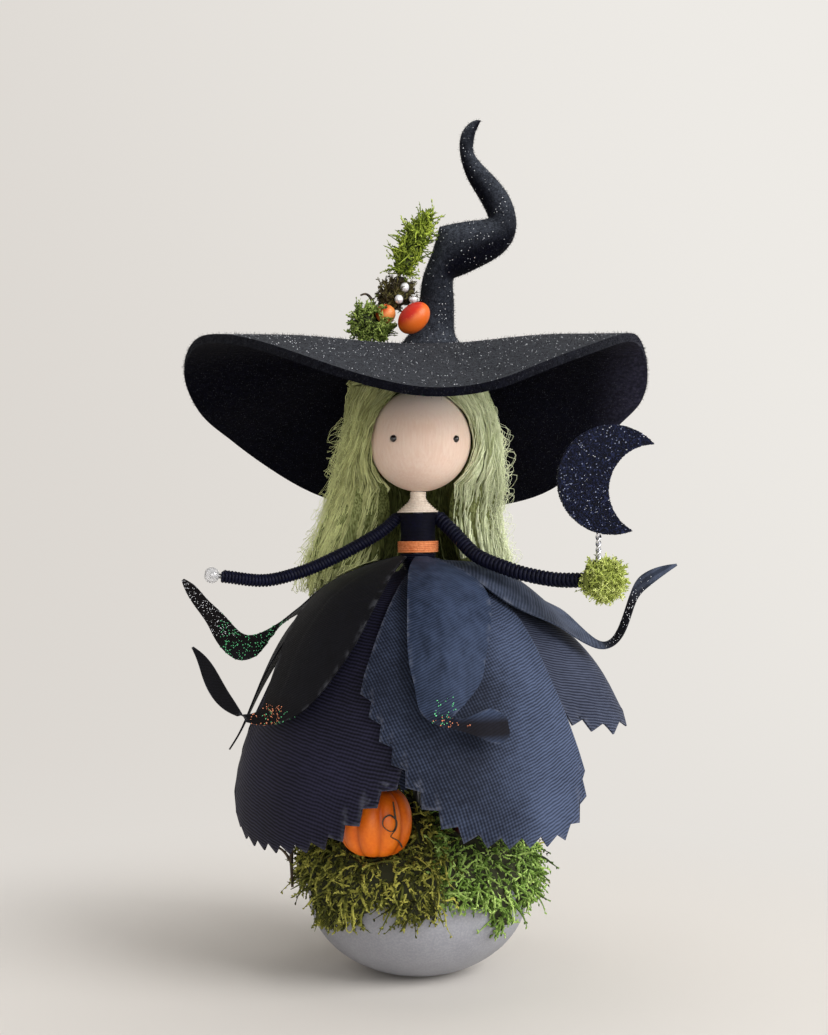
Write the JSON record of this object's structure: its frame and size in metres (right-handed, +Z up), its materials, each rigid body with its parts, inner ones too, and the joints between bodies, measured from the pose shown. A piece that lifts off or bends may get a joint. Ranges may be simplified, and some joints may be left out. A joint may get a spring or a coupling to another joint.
{
  "type": "craft witch doll",
  "caption": "Small hand-made witch doll: bead head, yarn hair, felt hat, fabric petal skirt and wire arms, standing on a mossy pebble and holding a crescent moon wand.",
  "frame": {"origin": "centre of the pebble's flat underside", "axes": "+Z up through the doll, the face looks along -Y, +X is at the right of someone who looks at the face"},
  "size_m": [0.1212, 0.1069, 0.2068],
  "materials": {
    "stone": "smooth matt grey pebble",
    "wire": "annealed craft wire",
    "silver_wire": "twisted silver-coloured wire",
    "moss": "dried preserved moss, olive",
    "moss_bright": "dried preserved moss, bright green",
    "pumpkin": "painted orange, satin",
    "berry": "glossy orange with a red blush",
    "dark_berry": "dark red",
    "twig": "dry dark twig",
    "twill": "dark navy ribbed twill, pinked edge",
    "satin": "dark smooth woven petal with glitter at the tip",
    "navy_thread": "wound thread, nearly black navy",
    "orange_thread": "wound orange thread",
    "pale_thread": "wound cream thread",
    "bead_wood": "pale sanded bead",
    "black_bead": "glossy black",
    "yarn": "loose spun wool, sage green",
    "felt": "black craft felt with fine glitter",
    "glitter_foam": "black glitter sheet",
    "clear_glass": "clear round bead",
    "silver_bead": "silver bead"
  },
  "bodies": {
    "torso": {"base_stone": "stone", "armature_post": "wire", "waist_core": "navy_thread", "waist_belt": "orange_thread", "bodice": "navy_thread", "neck_wrap": "pale_thread", "head_bead": "bead_wood", "eye_left": "black_bead", "eye_right": "black_bead", "hat_brim": "felt", "hat_crown": "felt", "skirt_petal_front_right": "twill", "skirt_petal_front_left": "twill", "skirt_petal_right": "twill", "skirt_petal_back": "twill", "skirt_petal_left": "twill", "over_petal_front": "satin", "over_petal_left_front": "satin", "over_petal_left_side": "satin", "over_petal_left_back": "satin", "over_petal_right": "satin", "over_petal_back": "satin", "hair_right": "yarn", "hair_back": "yarn", "hair_left": "yarn", "hair_crown": "yarn", "base_moss_left": "moss", "base_moss_front": "moss", "base_moss_right": "moss_bright", "base_moss_back_right": "moss", "base_moss_back_left": "moss", "pumpkin": "pumpkin", "pumpkin_stalk": "twig", "pumpkin_tendril": "twig", "dark_berry": "dark_berry", "base_twig": "twig", "hat_berry_right": "berry", "hat_berry_left": "berry", "hat_bead_1": "silver_bead", "hat_bead_2": "silver_bead", "hat_bead_3": "silver_bead", "hat_moss_low": "moss", "hat_moss_dark": "moss", "hat_moss_tall": "moss_bright", "hat_twig": "twig"},
    "arm_left": {"arm_left_sleeve": "navy_thread", "arm_left_wire": "wire", "hand_bead_left": "clear_glass"},
    "arm_right": {"arm_right_sleeve": "navy_thread", "arm_right_wire": "wire", "wand_moss_ball": "moss_bright"},
    "wand": {"wand_wire": "silver_wire", "moon": "glitter_foam"}
  },
  "joints": [
    {"name": "left_shoulder", "type": "hinge", "parent": "torso", "child": "arm_left", "pos_m": [-0.0049, 0, 0.11012], "axis": [0, 1, 0], "range_deg": [-5, 30]},
    {"name": "right_shoulder", "type": "hinge", "parent": "torso", "child": "arm_right", "pos_m": [0.0049, 0, 0.11012], "axis": [0, -1, 0], "range_deg": [-3, 12]},
    {"name": "wand_bend", "type": "hinge", "parent": "arm_right", "child": "wand", "pos_m": [0.04155, -0.02175, 0.1014], "axis": [0, 1, 0], "range_deg": [-15, 15]}
  ]
}
